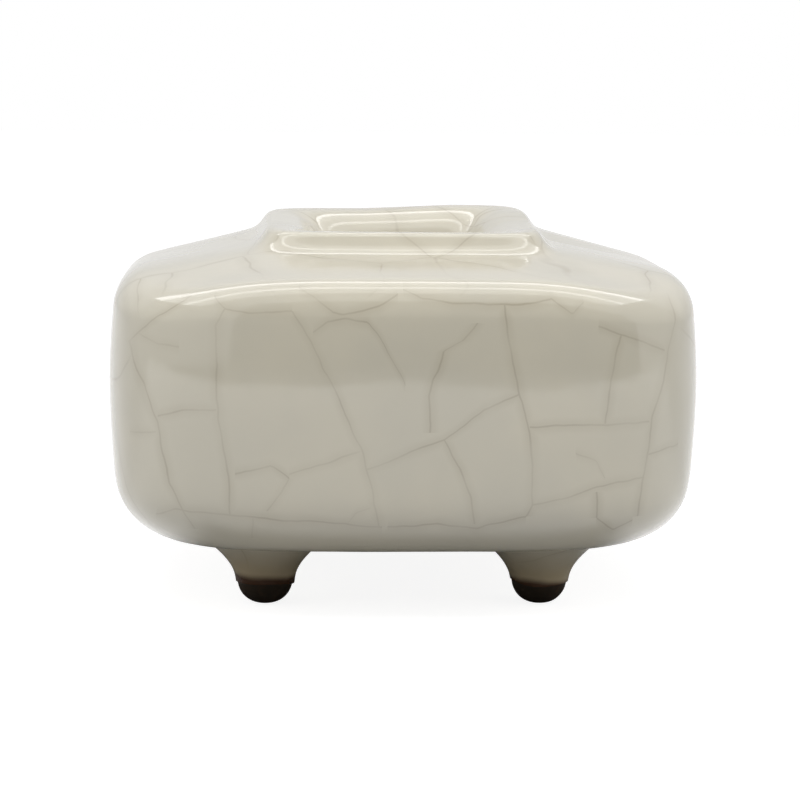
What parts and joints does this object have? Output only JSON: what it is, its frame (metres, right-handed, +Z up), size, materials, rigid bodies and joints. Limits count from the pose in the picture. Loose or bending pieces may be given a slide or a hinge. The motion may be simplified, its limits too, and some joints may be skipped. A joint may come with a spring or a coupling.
{
  "type": "square water coupe",
  "caption": "Low square ceramic water coupe with rounded shoulders, a small square mouth, crackle glaze and short nub feet with bare dark tips.",
  "frame": {"origin": "on the table plane, below the middle of the body", "axes": "+Z up through the mouth, the front seen in the picture faces -Y, +X to its right"},
  "size_m": [0.0894, 0.0894, 0.0567],
  "materials": {
    "crackle_glaze": "gloss",
    "dark_clay": "matt"
  },
  "bodies": {
    "root": {"lower_body": "dark_clay", "upper_body": "dark_clay", "mouth_collar": "dark_clay", "foot_front_left": "dark_clay", "foot_front_right": "dark_clay", "foot_rear_left": "dark_clay", "foot_rear_right": "dark_clay", "wall_glaze": "crackle_glaze", "base_glaze": "crackle_glaze", "inner_glaze": "crackle_glaze"}
  },
  "joints": []
}
